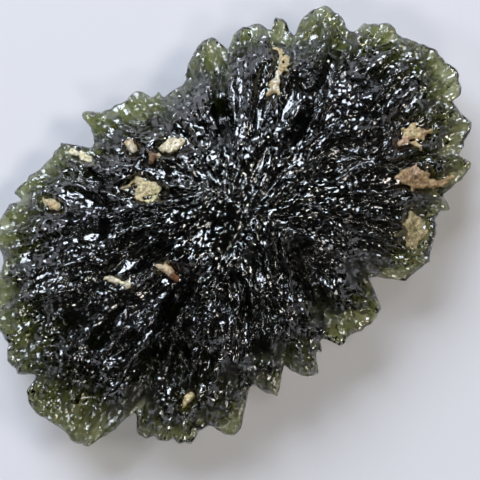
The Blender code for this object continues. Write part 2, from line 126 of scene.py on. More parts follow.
# Soil remnants: points with half widths along each one, in mm, then the finish of its heart,
# of its edges and of its stains, and its thickness.
CLAY = {
    "clay_strip": (((11.2, 9.85, 0.2), (11.45, 9.3, 0.38), (11.25, 8.55, 0.46), (10.75, 8.0, 0.42),
                    (9.7, 7.5, 0.34), (8.9, 6.9, 0.52), (8.65, 6.55, 0.3)),
                   "tan", "beige", "cream", 0.35),
    "clay_nugget": (((-7.95, 7.5, 0.14), (-7.2, 7.1, 0.36), (-6.35, 6.7, 0.8), (-5.85, 5.95, 0.92),
                     (-5.3, 5.6, 0.5), (-4.85, 5.3, 0.12)), "beige", "beige", "straw", 0.3),
    "clay_cream_patch": (((-2.6, 8.25, 0.42), (-2.1, 8.0, 0.7), (-1.45, 7.8, 0.74),
                          (-1.15, 7.7, 0.52)), "cream", "beige", "brown", 0.3),
    "clay_pink_crumb": (((-4.85, 10.7, 0.4), (-4.9, 9.8, 0.46)), "cream", "tan", "pink", 0.25),
    "clay_west_crumb": (((-14.4, 10.9, 0.3), (-14.0, 10.3, 0.5), (-13.6, 9.6, 0.35)),
                        "tan", "beige", "brown", 0.25),
    "clay_rim_streak": (((-9.7, 13.3, 0.25), (-9.2, 12.5, 0.3), (-8.7, 11.7, 0.3)),
                        "straw", "cream", "olive", 0.15),
    "clay_star": (((15.1, -4.1, 0.32), (15.75, -4.1, 0.6), (16.4, -4.0, 0.78), (17.3, -4.55, 0.46),
                   (18.15, -4.7, 0.22)), "straw", "tan", "pink", 0.35),
    "clay_long_patch": (((12.9, -6.4, 0.2), (13.45, -6.7, 0.6), (14.3, -7.2, 1.1),
                         (14.9, -8.05, 0.85), (15.4, -8.9, 0.55), (16.3, -9.2, 0.4),
                         (17.25, -9.35, 0.18)), "brown", "tan", "pink", 0.35),
    "clay_broad_patch": (((12.15, -9.75, 0.3), (11.9, -10.6, 0.95), (11.4, -11.4, 1.15),
                          (10.85, -12.0, 0.8), (10.65, -12.75, 0.2)),
                         "olive", "beige", "moss", 0.25),
    "clay_rust_crumb": (((-9.0, -0.3, 0.35), (-8.7, -1.2, 0.5), (-8.5, -2.1, 0.35)),
                        "cream", "tan", "rust", 0.3),
    "clay_sliver": (((-13.7, 1.8, 0.25), (-13.0, 0.8, 0.28), (-12.4, 0.0, 0.22)),
                    "cream", "straw", "olive", 0.25),
    "clay_south_crumb": (((-14.9, -11.8, 0.3), (-14.3, -11.6, 0.4), (-13.8, -11.4, 0.3)),
                         "straw", "tan", "olive", 0.25),
}
# Arms and side lobes of the remnants, as more strokes of the same kind.
CLAY_ARMS = {
    "clay_strip": (((8.85, 6.6, 0.2), (8.7, 5.8, 0.06)), ((8.55, 6.7, 0.2), (7.9, 6.55, 0.06)),
                   ((10.55, 7.75, 0.25), (10.7, 7.2, 0.12))),
    "clay_nugget": (((-6.6, 6.05, 0.7), (-6.35, 5.4, 0.45)),
                    ((-5.0, 5.35, 0.2), (-5.6, 5.0, 0.2), (-6.2, 4.95, 0.16))),
    "clay_cream_patch": (((-4.2, 7.9, 0.22), (-3.85, 8.25, 0.34), (-3.4, 7.9, 0.16),
                          (-2.65, 8.0, 0.14)),),
    "clay_star": (((16.4, -4.0, 0.5), (17.0, -3.3, 0.36)), ((16.3, -4.0, 0.5), (16.0, -3.25, 0.32)),
                  ((16.25, -4.6, 0.45), (16.2, -5.7, 0.16)), ((17.2, -4.5, 0.4), (17.0, -5.0, 0.2))),
    "clay_long_patch": (((14.1, -7.5, 0.5), (13.4, -8.15, 0.18)),
                        ((14.6, -6.9, 0.5), (15.1, -6.5, 0.3))),
    "clay_broad_patch": (((10.8, -10.95, 0.5), (9.95, -10.75, 0.25)),
                         ((11.45, -10.4, 0.5), (11.25, -9.6, 0.22)),
                         ((10.8, -11.6, 0.3), (10.2, -12.0, 0.14))),
    "clay_rust_crumb": (((-8.9, -0.6, 0.3), (-8.3, -0.2, 0.12)),),
}
# Slits and gaps where the glass shows through: x, y, x, y, half width.
CLAY_GAPS = {
    "clay_strip": ((10.9, 8.25, 10.85, 8.15, 0.05), (11.3, 8.85, 11.65, 8.8, 0.05)),
    "clay_nugget": ((-7.4, 7.05, -6.7, 6.8, 0.10), (-6.9, 7.2, -6.6, 7.1, 0.05),
                    (-6.65, 5.5, -6.15, 5.25, 0.10)),
    "clay_cream_patch": ((-3.1, 8.35, -3.0, 7.6, 0.06),),
    "clay_star": ((16.0, -4.4, 16.3, -4.55, 0.07),),
    "clay_long_patch": ((14.2, -8.9, 14.9, -9.3, 0.25), (15.6, -8.2, 16.0, -8.4, 0.12)),
}
# Stains on the remnants: x, y, radius.
CLAY_STAINS = {
    "clay_strip": ((9.6, 7.35, 0.65), (8.9, 6.7, 0.3)),
    "clay_nugget": ((-5.2, 5.2, 0.4), (-5.9, 4.9, 0.4), (-6.5, 4.9, 0.3)),
    "clay_cream_patch": ((-3.9, 8.15, 0.7),),
    "clay_star": ((15.3, -4.1, 0.6), (17.3, -4.85, 0.3)),
    "clay_long_patch": ((15.0, -6.6, 0.7), (12.9, -6.6, 0.3)),
    "clay_broad_patch": ((10.3, -10.8, 0.75), (11.3, -9.7, 0.4)),
    "clay_rust_crumb": ((-8.5, -1.95, 0.7),),
}
FINISHES = {
    "cream": (0.64, 0.58, 0.45),
    "straw": (0.54, 0.49, 0.28),
    "beige": (0.43, 0.36, 0.21),
    "tan": (0.36, 0.25, 0.13),
    "pink": (0.42, 0.29, 0.20),
    "olive": (0.22, 0.18, 0.085),
    "moss": (0.07, 0.062, 0.03),
    "brown": (0.15, 0.09, 0.05),
    "rust": (0.13, 0.055, 0.022),
}


# ---- Settings ----
class StoneSettings(bpy.types.PropertyGroup):
    """Sizes of the stone, all in millimetres unless said."""
    height: FloatProperty(name="Height", description="Top of the dome, mm", default=9.2)
    rim_height: FloatProperty(name="Rim height", description="Middle of the rim, mm", default=4.2)
    lip: FloatProperty(name="Lip", description="Half thickness of the rim, mm", default=0.38)
    brim_width: FloatProperty(name="Brim width", description="Width of the brim, mm", default=3.3)
    gutter_width: FloatProperty(name="Gutter width", description="Across a gutter, mm", default=2.3)
    gutter_length: FloatProperty(name="Gutter length", description="Along a gutter, mm", default=6.4)
    gutter_depth: FloatProperty(name="Gutter depth", description="Crest to floor, mm", default=0.95)
    etching: FloatProperty(name="Etching", description="Strength of the finer relief",
                           default=1.0)
    top_spacing: FloatProperty(name="Top spacing", description="Upper mesh spacing, mm",
                               default=0.144)
    under_spacing: FloatProperty(name="Under spacing", description="Underside mesh spacing, mm",
                                 default=0.30)


class GlassSettings(bpy.types.PropertyGroup):
    """Finish of the glass."""
    tint: FloatVectorProperty(name="Tint", description="Colour that the glass lets through",
                              subtype="COLOR", default=(0.56, 0.59, 0.22), min=0.0, max=1.0)
    density: FloatProperty(name="Density", description="Absorption per metre", default=2050.0)
    ior: FloatProperty(name="IOR", description="Refractive index", default=1.49)
    roughness: FloatProperty(name="Roughness", description="Roughness of the skin", default=0.06)
    rim_roughness: FloatProperty(name="Rim roughness", description="Roughness of the frosted rim",
                                 default=0.55)
    coat_roughness: FloatProperty(name="Coat roughness", description="Roughness of the gloss",
                                  default=0.13)


class ClaySettings(bpy.types.PropertyGroup):
    """Finish and grain of the soil remnants."""
    step: FloatProperty(name="Step", description="Mesh spacing, mm", default=0.08)
    ragged: FloatProperty(name="Ragged", description="Raggedness of the edges, mm", default=0.18)
    grain: FloatProperty(name="Grain", description="Height of the grain, mm", default=0.09)


class StudioSettings(bpy.types.PropertyGroup):
    """Floor, lights and camera."""
    floor_color: FloatVectorProperty(name="Floor", description="Colour of the floor",
                                     subtype="COLOR", default=(0.57, 0.57, 0.60), min=0.0, max=1.0)
    key_power: FloatProperty(name="Key power", description="Power of the window light, W",
                             default=4.0)
    sky: FloatProperty(name="Sky", description="Strength of the even light", default=0.026)
    roll: FloatProperty(name="Roll", description="Turn of the camera about its view",
                        subtype="ANGLE", default=math.radians(-36.0))
    distance: FloatProperty(name="Distance", description="Camera above the rim",
                            subtype="DISTANCE", unit="LENGTH", default=0.15)
    view_width: FloatProperty(name="View width", description="Width seen at the rim",
                              subtype="DISTANCE", unit="LENGTH", default=0.04444)


# ---- Small tools on arrays ----
# Uneven steps and a large scale, which make the numbers of neighbouring places unalike.
SCATTER_STEPS = (127.1, 311.7, 74.7)
SCATTER_SCALE = 43758.5453


def smooth_step(low, high, value):
    """0 up to low, 1 from high on, and a smooth rise between them."""
    t = np.clip((value - low) / (high - low), 0.0, 1.0)
    return t * t * (3.0 - 2.0 * t)


def scatter(i, j, seed):
    """A repeatable number from 0 to 1 for each whole-number place."""
    step_i, step_j, step_seed = SCATTER_STEPS
    value = np.sin(i * step_i + j * step_j + seed * step_seed) * SCATTER_SCALE
    return value - np.floor(value)


def noise(x, y, size, seed):
    """Smooth noise from -1 to 1 with features of about the given size."""
    u, v = x / size, y / size
    i, j = np.floor(u), np.floor(v)
    fu, fv = u - i, v - j
    fu, fv = fu * fu * (3 - 2 * fu), fv * fv * (3 - 2 * fv)
    near = scatter(i, j, seed) * (1 - fu) + scatter(i + 1, j, seed) * fu
    far = scatter(i, j + 1, seed) * (1 - fu) + scatter(i + 1, j + 1, seed) * fu
    return 2.0 * (near * (1 - fv) + far * fv) - 1.0


def wave(x, y, form):
    """Noise of a form given as its height, its size and its seed."""
    height, size, seed = form
    return height * noise(x, y, size, seed)


def distance_to_path(x, y, path, closed=False):
    """Distance from each point to a line through the path's points, and where along it (0 to 1)."""
    path = np.asarray(path, float)
    ends = np.roll(path, -1, axis=0) if closed else path[1:]
    starts = path if closed else path[:-1]
    best = np.full(x.shape, FAR)
    where = np.zeros(x.shape)
    for k, (a, b) in enumerate(zip(starts, ends)):
        run = b[:2] - a[:2]
        t = ((x - a[0]) * run[0] + (y - a[1]) * run[1]) / (run @ run)
        t = np.clip(t, 0.0, 1.0)
        d = np.hypot(x - a[0] - t * run[0], y - a[1] - t * run[1])
        closer = d < best
        best = np.where(closer, d, best)
        where = np.where(closer, (k + t) / len(starts), where)
    return best, where


# ---- The outline ----
RIM_STEPS = 11
RIM_TENSION = 0.32
# Fine waves along the rim: height, size, seed.
SCALLOPS = ((0.28, 1.3, 41), (0.20, 0.55, 42))
# Spacing in degrees and number of the points over which the lobes are smoothed away.
BEARING_STEP = 2.0
SMOOTHING_POINTS = 17


def rim_knots():
    """The rim's tips and notches as points."""
    bearing, reach = np.radians([p[0] for p in RIM]), np.array([p[1] for p in RIM])
    return np.stack([reach * np.cos(bearing), reach * np.sin(bearing)], axis=1)


def rim_loop():
    """The rim as a closed, finely scalloped line through its tips and notches."""
    knots = rim_knots()
    before, after = np.roll(knots, 1, axis=0), np.roll(knots, -1, axis=0)
    beyond = np.roll(knots, -2, axis=0)
    leave, arrive = (after - before) * RIM_TENSION, (beyond - knots) * RIM_TENSION
    t = (np.arange(RIM_STEPS) / RIM_STEPS)[None, :, None]
    p, q, u, v = knots[:, None], after[:, None], leave[:, None], arrive[:, None]
    line = (2 * t ** 3 - 3 * t ** 2 + 1) * p + (t ** 3 - 2 * t ** 2 + t) * u \
        + (3 * t ** 2 - 2 * t ** 3) * q + (t ** 3 - t ** 2) * v
    line = line.reshape(-1, 2)
    reach = np.linalg.norm(line, axis=1)
    push = sum(wave(line[:, 0], line[:, 1], form) for form in SCALLOPS)
    return line * (1.0 + push / reach)[:, None]


LOOP = rim_loop()
LOOP_LENGTH = np.concatenate([[0.0], np.cumsum(np.linalg.norm(
    np.roll(LOOP, -1, axis=0) - LOOP, axis=1))])
# The hub's place in the frame, which has its origin in the middle of the outline.
HUB = -(rim_knots().min(axis=0) + rim_knots().max(axis=0)) / 2.0


def rim_at(share):
    """Point of the rim at a share of the way round it."""
    loop = np.vstack([LOOP, LOOP[:1]])
    along = (share % 1.0) * LOOP_LENGTH[-1]
    return np.interp(along, LOOP_LENGTH, loop[:, 0]), np.interp(along, LOOP_LENGTH, loop[:, 1])


def broad_reach(bearing):
    """Reach of the rim with its lobes smoothed away, which shapes the dome."""
    grid = np.radians(np.arange(0.0, 360.0, BEARING_STEP))
    rim_bearing = np.radians([p[0] for p in RIM])
    reach = np.interp(grid, rim_bearing, [p[1] for p in RIM], period=2 * np.pi)
    window = np.hanning(SMOOTHING_POINTS)
    window /= window.sum()
    half = len(window) // 2
    soft = np.convolve(np.concatenate([reach[-half:], reach, reach[:half]]), window, "valid")
    return np.interp(bearing, grid, soft, period=2 * np.pi)


# ---- Relief ----
# How much nearer the nearest bowl is than the second on a crest and on a floor, in cell widths.
CREST_SPREAD = (0.06, 0.80)
# The short line from which the ridges fan out, across the stone's long axis.
SPINE_START = (1.8, -4.8)
SPINE_END = (-1.5, 4.2)
CELL_JITTER = 0.8
FLOW_BEND = 0.9
FLOW_BEND_SIZE = 6.5
BEND_SEEDS = (5, 9)
CELL_SEED = 3


def around_spine(x, y):
    """Distance from the spine, share of the way round it, and the length of a loop round it."""
    run_x, run_y = SPINE_END[0] - SPINE_START[0], SPINE_END[1] - SPINE_START[1]
    spine = math.hypot(run_x, run_y)
    run_x, run_y = run_x / spine, run_y / spine
    from_x, from_y = x - SPINE_START[0], y - SPINE_START[1]
    t = np.clip(from_x * run_x + from_y * run_y, 0.0, spine)
    ahead = from_x * run_x + from_y * run_y - t
    aside = run_x * from_y - run_y * from_x
    r = np.hypot(ahead, aside)
    turn = np.arctan2(aside, ahead)
    left = r * turn + spine - t
    right = r * (turn + 2 * np.pi) + spine + t
    loop = 2 * np.pi * r + 2 * spine
    return r, np.where(aside >= 0.0, left, right) / loop % 1.0, loop


def gutters(x, y, width, length, seed):
    """Bowls drawn out away from the spine: 0 on a floor, 1 on the crests between them."""
    bent_x = x + FLOW_BEND * noise(x, y, FLOW_BEND_SIZE, seed + BEND_SEEDS[0])
    bent_y = y + FLOW_BEND * noise(x, y, FLOW_BEND_SIZE, seed + BEND_SEEDS[1])
    r, way, loop = around_spine(bent_x, bent_y)
    first_loop = loop - 2 * np.pi * r
    nearest = np.full(x.shape, FAR)
    second = np.full(x.shape, FAR)
    for band_step in (-1, 0, 1):
        band = np.floor(r / length) + band_step
        around = np.round((first_loop + 2 * np.pi * (np.abs(band) + 0.5) * length) / width)
        place = way * around
        for cell_step in (-2, -1, 0, 1, 2):
            cell = np.floor(place) + cell_step
            name = cell % around
            off_band = CELL_JITTER * (scatter(band, name, seed) - 0.5)
            off_cell = CELL_JITTER * (scatter(band, name, seed + CELL_SEED) - 0.5)
            out = r / length - (band + 0.5 + off_band)
            side = (place - (cell + 0.5 + off_cell)) * loop / around / width
            away = np.hypot(out, side)
            second = np.minimum(second, np.maximum(nearest, away))
            nearest = np.minimum(nearest, away)
    return 1.0 - smooth_step(*CREST_SPREAD, second - nearest)


# Share of a furrow's length over which it deepens, and the power of its banks.
FURROW_START = 0.25
FURROW_POWER = 1.3


def furrow_cut(x, y):
    """Depth of the furrows, which deepen over the first part of their length."""
    cut = np.zeros(x.shape)
    for path, half_width, depth in FURROWS:
        d, along = distance_to_path(x, y, path)
        bank = np.clip(1.0 - d / half_width, 0.0, 1.0) ** FURROW_POWER
        cut = np.maximum(cut, depth * smooth_step(0.0, FURROW_START, along) * bank)
    return cut


def lump_rise(x, y):
    """Height of the rounded lumps, as caps of balls."""
    rise = np.zeros(x.shape)
    for cx, cy, radius, height in LUMPS:
        d = np.hypot(x - cx, y - cy) / radius
        rise = np.maximum(rise, height * np.sqrt(np.clip(1.0 - d * d, 0.0, 1.0)))
    return rise


# Pits under the soil: depth, width of their banks, and distance from the rim over which they
# fade out.
PIT_DEPTH = 0.45
PIT_MARGIN = 0.6
PIT_FADE = 2.0


def stroke_cover(x, y, path):
    """How far inside a stroke each point lies, in mm."""
    d, along = distance_to_path(x, y, path)
    return np.interp(along, np.linspace(0, 1, len(path)), [p[2] for p in path]) - d


def pit_share(x, y):
    """1 inside the pits that hold soil, falling to 0 just outside them."""
    share = np.zeros(x.shape)
    for path, *_ in CLAY.values():
        share = np.maximum(share, 1.0 - smooth_step(0.0, PIT_MARGIN, -stroke_cover(x, y, path)))
    return share


# ---- The two faces of the stone ----
# Waves below are height, size, seed. Powers shape the profiles from the rim to the middle.
BRIM_POWER = 1.5
DOME_POWER = 1.0
BELLY_POWER = 0.85
# Depth of the belly as a share of the rim's height.
BELLY_SAG = 0.94
# Rise of the rim for each mm along X and Y, and its waves.
RIM_RISE = (0.010, -0.065)
RIM_WAVE = (0.55, 7.0, 21)
# Share of a thin place's radius within which it is thinnest.
THIN_CORE = 0.3
LIP_ROUNDING = 0.65
# Most that the relief may take of the whole thickness, the etching of what the relief may take,
# and a furrow of the upper half.
RELIEF_SHARE = 0.42
ETCHING_SHARE = 0.5
FURROW_SHARE = 0.75
# Power with which the lumps fade out over the brim.
LUMP_FADE = 0.3
LEAST_THICKNESS = 0.7
# The flat land on which the stone rests, and the width over which the relief comes back.
LAND_CENTRE = (-1.5, -0.6)
LAND_RADII = (6.0, 4.0)
LAND_BLEND = 1.6
TOP_SEED = 1
# Gutters of the underside: width, length, depth, seed.
BELLY_GUTTER = (2.6, 6.0, 0.9, 2)
# Depth of the main ridges near the hub as a share of that outside it, and where the hub ends.
HUB_DEPTH = 0.75
HUB_RADIUS = 5.0
DEPTH_WAVE = (0.35, 4.0, 31)
# Share of the etching that is left on a floor.
FLOOR_ETCHING = 0.55
# Where the frosted skin of the rim ends, in mm from the rim, how that sways, and its patches.
FROST_SPREAD = (1.2, 3.6)
FROST_SWAY = (0.8, 1.6, 33)
FROST_MEAN = 0.6
FROST_PATCHES = (0.6, 0.9, 34)
# Least share of facets on the frosted skin and in the pits, what a furrow takes from it, and
# the share all over the underside.
FROST_FACETS = 0.52
PIT_FACETS = 0.7
FURROW_CALM = 0.8
UNDER_FACETS = 0.5
# Finer etching: width across the rays, length along them, depth, seed.
TOP_ETCHING = ((0.95, 3.0, 0.24, 11), (0.66, 0.90, 0.09, 12))
UNDER_ETCHING = ((1.10, 2.20, 0.45, 14), (0.65, 0.90, 0.28, 15))


def brim(x, y, edge, width):
    """Share of the full thickness that the brim has at this distance from the rim."""
    thin = np.ones(x.shape)
    for cx, cy, radius, share in THIN_PLACES:
        fade = 1.0 - smooth_step(THIN_CORE, 1.0, np.hypot(x - cx, y - cy) / radius)
        thin = np.minimum(thin, 1.0 - (1.0 - share) * fade)
    t = np.clip(edge / width, 0.0, 1.0)
    return (1.0 - (1.0 - t) ** BRIM_POWER) * thin


def middle_height(x, y, stone):
    """Height of the surface that the rim lies on."""
    lean = RIM_RISE[0] * x + RIM_RISE[1] * y
    return stone.rim_height + lean + wave(x, y, RIM_WAVE)


def lip(edge, stone):
    """Half thickness of the lip, rounded off at the rim."""
    t = np.clip(edge / LIP_ROUNDING, 0.0, 1.0)
    return stone.lip * np.sqrt(1.0 - (1.0 - t) ** 2)


def land_distance(x, y):
    """Rough distance outside the flat land that the stone rests on, 0 on the land."""
    long, short = LAND_RADII
    out = np.hypot((x - LAND_CENTRE[0]) / long, (y - LAND_CENTRE[1]) / short) - 1.0
    return np.clip(out, 0.0, None) * short


def etching(x, y, levels, room):
    """Finer bowls within the gutters, shallower where the brim is thin."""
    total = np.zeros(x.shape)
    for width, length, depth, seed in levels:
        total += np.minimum(depth, ETCHING_SHARE * room) * (gutters(x, y, width, length, seed) - 0.5)
    return total


def top_relief(x, y, ridge, room, stone):
    """Main ridges of the upper face, lower near the hub, and the etching between them."""
    calm = HUB_DEPTH + (1.0 - HUB_DEPTH) * smooth_step(0.0, HUB_RADIUS, np.hypot(x, y))
    depth = stone.gutter_depth * (1.0 + wave(x, y, DEPTH_WAVE)) * calm
    weight = FLOOR_ETCHING + (1.0 - FLOOR_ETCHING) * ridge
    return np.minimum(depth, room) * (ridge - 0.5) \
        + stone.etching * etching(x, y, TOP_ETCHING, room) * weight


def under_relief(x, y, room, stone):
    """Gutters and etching of the underside, fading out on the flat land."""
    width, length, depth, seed = BELLY_GUTTER
    relief = np.minimum(depth, room) * (gutters(x, y, width, length, seed) - 0.5)
    relief += stone.etching * etching(x, y, UNDER_ETCHING, room)
    return relief * smooth_step(0.0, LAND_BLEND, land_distance(x, y))


def frost_share(x, y, edge):
    """Frosting of the skin: strongest at the rim, in patches, and none further in."""
    frost = 1.0 - smooth_step(*FROST_SPREAD, edge + wave(x, y, FROST_SWAY))
    return frost * (FROST_MEAN + wave(x, y, FROST_PATCHES))


def crest_share(ridge, furrow, pit, frost):
    """How strongly the skin is faceted: most on the crests, least on the floors of furrows."""
    crest = np.clip(ridge * (1.0 - FURROW_CALM * np.clip(furrow, 0.0, 1.0)), 0.0, 1.0)
    return np.maximum(np.maximum(crest, PIT_FACETS * pit), FROST_FACETS * frost)


def stone_faces(x, y, stone):
    """Heights of both faces above the points x, y, and the shares of crest and of frost there."""
    edge, _ = distance_to_path(x, y, LOOP, closed=True)
    span = np.clip(np.hypot(x, y) / broad_reach(np.arctan2(y, x)), 0.0, 1.0)
    middle = middle_height(x, y, stone)
    half_lip = lip(edge, stone)
    share = brim(x, y, edge, stone.brim_width)
    rise = (stone.height - middle) * (1.0 - span ** 2) ** DOME_POWER * share
    sag = middle * BELLY_SAG * (1.0 - span ** 2) ** BELLY_POWER * share
    room = half_lip + RELIEF_SHARE * (rise + sag)

    ridge = gutters(x, y, stone.gutter_width, stone.gutter_length, TOP_SEED)
    furrow = furrow_cut(x, y)
    pit = pit_share(x, y)
    cut = np.minimum(furrow, FURROW_SHARE * (rise + half_lip))
    top = middle + half_lip + rise + lump_rise(x, y) * share ** LUMP_FADE
    top += (top_relief(x, y, ridge, room, stone) - cut) * (1.0 - pit)
    top -= PIT_DEPTH * pit * smooth_step(0.0, PIT_FADE, edge)
    under = middle - half_lip - sag - under_relief(x, y, room, stone)
    under = np.minimum(under, top - np.minimum(LEAST_THICKNESS, 2.0 * half_lip))
    frost = frost_share(x, y, edge)
    return top, np.maximum(under, 0.0), crest_share(ridge, furrow, pit, frost), frost


# ---- Meshing of the stone ----
FIRST_RING = 0.1
LEAST_RING_POINTS = 8


def ring_scales(spacing):
    """Scales of the outline's rings, from just off the hub to just inside the rim."""
    broad = float(np.mean([p[1] for p in RIM]))
    rings = int(round((broad - FIRST_RING) / spacing))
    last = 1.0 - FIRST_RING / broad
    return [(k + 0.5) / rings * last for k in range(rings)] + [last]


def ring(scale, spacing, shift):
    """Points of one ring: the outline, scaled about the hub."""
    count = max(LEAST_RING_POINTS, int(round(LOOP_LENGTH[-1] * scale / spacing)))
    shares = (np.arange(count) + shift) / count
    x, y = rim_at(shares)
    return x * scale, y * scale, shares


def stitch(inner, inner_shares, outer, outer_shares):
    """Triangles between two rings of point numbers, anticlockwise from above."""
    faces = []
    i = j = 0
    while i < len(inner) or j < len(outer):
        next_inner = inner_shares[i + 1] if i + 1 < len(inner) else inner_shares[0] + 1.0
        next_outer = outer_shares[j + 1] if j + 1 < len(outer) else outer_shares[0] + 1.0
        a, b = inner[i % len(inner)], outer[j % len(outer)]
        if j < len(outer) and (next_outer <= next_inner or i >= len(inner)):
            faces.append((a, b, outer[(j + 1) % len(outer)]))
            j += 1
        else:
            faces.append((a, b, inner[(i + 1) % len(inner)]))
            i += 1
    return faces


def face_sheet(spacing, rim_numbers, rim_shares, first_number, upper):
    """Points and triangles of one face, from the hub out to the shared rim."""
    xs, ys = [np.zeros(1)], [np.zeros(1)]
    total = 1
    faces = []
    last, last_shares = None, None
    for k, scale in enumerate(ring_scales(spacing)):
        x, y, shares = ring(scale, spacing, 0.5 * (k % 2))
        numbers = list(range(first_number + total, first_number + total + len(x)))
        total += len(x)
        xs.append(x)
        ys.append(y)
        if last is None:
            faces += [(first_number, numbers[n], numbers[(n + 1) % len(numbers)])
                      for n in range(len(numbers))]
        else:
            faces += stitch(last, last_shares, numbers, shares)
        last, last_shares = numbers, shares
    faces += stitch(last, last_shares, rim_numbers, rim_shares)
    if not upper:
        faces = [f[::-1] for f in faces]
    return np.concatenate(xs), np.concatenate(ys), faces


def stone_mesh(stone):
    """Points in mm about the hub, triangles, and shares of crest and of frost, of the stone."""
    x, y, rim_shares = ring(1.0, stone.top_spacing, 0.0)
    rim_numbers = list(range(len(x)))
    all_x, all_y, heights = [x], [y], [middle_height(x, y, stone)]
    crests, frosts = [np.full(len(x), UNDER_FACETS)], [np.ones(len(x))]
    faces = []
    count = len(x)
    for upper, spacing in ((True, stone.top_spacing), (False, stone.under_spacing)):
        sx, sy, sheet_faces = face_sheet(spacing, rim_numbers, rim_shares, count, upper)
        all_x.append(sx)
        all_y.append(sy)
        top, under, crest, frost = stone_faces(sx, sy, stone)
        heights.append(top if upper else under)
        crests.append(crest if upper else np.full(len(sx), UNDER_FACETS))
        frosts.append(frost)
        count += len(sx)
        faces += sheet_faces
    points = np.column_stack([np.concatenate(all_x), np.concatenate(all_y),
                              np.concatenate(heights)])
    return points, faces, np.concatenate(crests), np.concatenate(frosts)


def add_mesh(name, points, faces, surface, **layers):
    """A smooth-shaded object from points in mm about the hub, in the frame's place.

    Each layer is a value for every point, which the surface's nodes read by the layer's name.
    """
    placed = (points + [HUB[0], HUB[1], 0.0]) * MM
    mesh = bpy.data.meshes.new(name)
    mesh.from_pydata(placed.tolist(), [], faces)
    mesh.update()
    mesh.shade_smooth()
    mesh.materials.append(surface)
    for label, values in layers.items():
        layer = mesh.attributes.new(label, "FLOAT", "POINT")
        layer.data.foreach_set("value", values.astype(np.float32))
    made = bpy.data.objects.new(name, mesh)
    bpy.context.scene.collection.objects.link(made)
    return made


# ---- Materials ----
# Grains and blotches are counted per metre, bumps and shifts are in metres.
GLOSS_IOR = 1.66
FACETS = 3000.0
FACET_TILT = 1.2
LEAST_FACET_TILT = 0.30
# Shares of crest between which the facets' tilt grows from least to full.
FACET_CRESTS = (0.35, 0.75)
SWAYS = 2200.0
SWAY_SHIFT = 0.0004
CLAY_ROUGHNESS = 0.95
BLOTCHES = 1400.0
BLOTCH_SPREAD = 1.6
GRAINS = 3600.0
GRAIN_ROUGHNESS = 0.7
GRAIN_BUMP = 0.00015
# Range of the grain noise, and how much it darkens and lightens the clay.
GRAIN_RANGE = (0.36, 0.62)
SPECKLE = (0.50, 1.45)
FLOOR_ROUGHNESS = 0.9
# A faint warm glow, which stands for the light that the room gives back to the floor.
FLOOR_GLOW = (1.0, 0.95, 0.92)
FLOOR_GLOW_STRENGTH = 0.06


def opaque(color):
    return (*color, 1.0)


def set_sockets(node, values):
    """Set a node's input sockets, given by name or by number."""
    for socket, value in values.items():
        node.inputs[socket].default_value = value


def add_node(nodes, kind, values, **settings):
    """A new shader node with its settings and the values of its sockets."""
    node = nodes.new("ShaderNode" + kind)
    for name, value in settings.items():
        setattr(node, name, value)
    set_sockets(node, values)
    return node


def new_material(name):
    made = bpy.data.materials.new(name)
    made.use_nodes = True
    nodes, links = made.node_tree.nodes, made.node_tree.links
    return made, nodes, links, nodes["Principled BSDF"]


def faceted_normal(nodes, links):
    """The skin's normal, tilted another way on each tiny facet, and most on the crests."""
    place = add_node(nodes, "TexCoord", {})
    sway = add_node(nodes, "TexNoise", {"Scale": SWAYS, "Detail": 1.0})
    links.new(place.outputs["Object"], sway.inputs["Vector"])
    shift = add_node(nodes, "VectorMath", {1: (SWAY_SHIFT,) * 3}, operation="MULTIPLY_ADD")
    links.new(sway.outputs["Color"], shift.inputs[0])
    links.new(place.outputs["Object"], shift.inputs[2])
    facets = add_node(nodes, "TexVoronoi", {"Scale": FACETS})
    links.new(shift.outputs[0], facets.inputs["Vector"])
    tilt = add_node(nodes, "VectorMath", {1: (FACET_TILT,) * 3, 2: (-FACET_TILT / 2,) * 3},
                    operation="MULTIPLY_ADD")
    links.new(facets.outputs["Color"], tilt.inputs[0])
    crest = add_node(nodes, "Attribute", {}, attribute_name="crest")
    rough = add_node(nodes, "MapRange",
                     {"From Min": FACET_CRESTS[0], "From Max": FACET_CRESTS[1],
                      "To Min": LEAST_FACET_TILT, "To Max": 1.0}, interpolation_type="SMOOTHSTEP")
    links.new(crest.outputs["Fac"], rough.inputs["Value"])
    share = add_node(nodes, "VectorMath", {}, operation="SCALE")
    links.new(tilt.outputs[0], share.inputs[0])
    links.new(rough.outputs[0], share.inputs["Scale"])
    skin = add_node(nodes, "NewGeometry", {})
    turned = add_node(nodes, "VectorMath", {}, operation="ADD")
    links.new(skin.outputs["Normal"], turned.inputs[0])
    links.new(share.outputs[0], turned.inputs[1])
    unit = add_node(nodes, "VectorMath", {}, operation="NORMALIZE")
    links.new(turned.outputs[0], unit.inputs[0])
    return unit.outputs[0]


def glass_material(glass):
    """Clear glass that soaks up light with depth, glossy, with a frosted rim."""
    made, nodes, links, shader = new_material("etched_green_glass")
    set_sockets(shader, {"Base Color": opaque((1.0, 1.0, 1.0)), "Transmission Weight": 1.0,
                         "IOR": glass.ior, "Coat Weight": 1.0, "Coat IOR": GLOSS_IOR,
                         "Coat Roughness": glass.coat_roughness})
    frost = add_node(nodes, "Attribute", {}, attribute_name="frost")
    dull = add_node(nodes, "MapRange", {"To Min": glass.roughness, "To Max": glass.rim_roughness})
    links.new(frost.outputs["Fac"], dull.inputs["Value"])
    links.new(dull.outputs[0], shader.inputs["Roughness"])
    normal = faceted_normal(nodes, links)
    links.new(normal, shader.inputs["Normal"])
    links.new(normal, shader.inputs["Coat Normal"])
    soak = add_node(nodes, "VolumeAbsorption",
                    {"Color": opaque(glass.tint), "Density": glass.density})
    links.new(soak.outputs["Volume"], nodes["Material Output"].inputs["Volume"])
    return made


